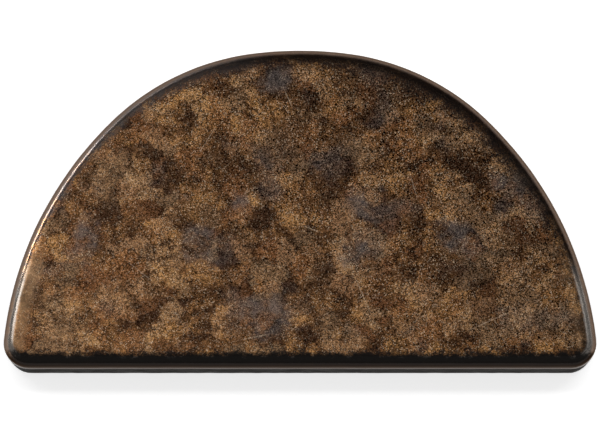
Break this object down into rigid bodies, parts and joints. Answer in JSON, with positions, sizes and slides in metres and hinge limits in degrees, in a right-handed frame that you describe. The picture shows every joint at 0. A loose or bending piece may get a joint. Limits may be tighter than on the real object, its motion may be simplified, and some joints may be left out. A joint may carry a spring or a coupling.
{
  "type": "concrete edger",
  "caption": "Half-moon palm edger: a hollow cast bronze body with a steel sole plate and a turned-down steel lip along its straight edge, for rounding slab edges.",
  "frame": {"origin": "middle of the bounding box in X and Y, level with the tip of the lip in Z", "axes": "+X along the straight edge, +Y from the straight edge to the top of the arch, +Z out of the top face"},
  "size_m": [0.1524, 0.083, 0.018],
  "materials": {
    "bronze": "mottled dark brown patina",
    "bar_steel": "worn, dark",
    "plate_steel": "ground, lightly scratched",
    "screw_steel": "blackened",
    "gasket_rubber": "matt",
    "core_wood": "plain, oiled"
  },
  "bodies": {
    "root": {"palm_body": "bronze", "edging_bar": "bar_steel", "sole_plate": "plate_steel", "sole_gasket": "gasket_rubber", "core_left": "core_wood", "core_middle": "core_wood", "core_right": "core_wood", "bar_screw_1": "screw_steel", "bar_screw_2": "screw_steel", "bar_screw_3": "screw_steel", "bar_screw_4": "screw_steel", "bar_screw_5": "screw_steel", "sole_screw_1": "screw_steel", "sole_screw_2": "screw_steel", "sole_screw_3": "screw_steel", "sole_screw_4": "screw_steel", "sole_screw_5": "screw_steel", "sole_screw_6": "screw_steel", "sole_screw_7": "screw_steel", "bar_dowel_left": "screw_steel", "bar_dowel_right": "screw_steel"}
  },
  "joints": []
}
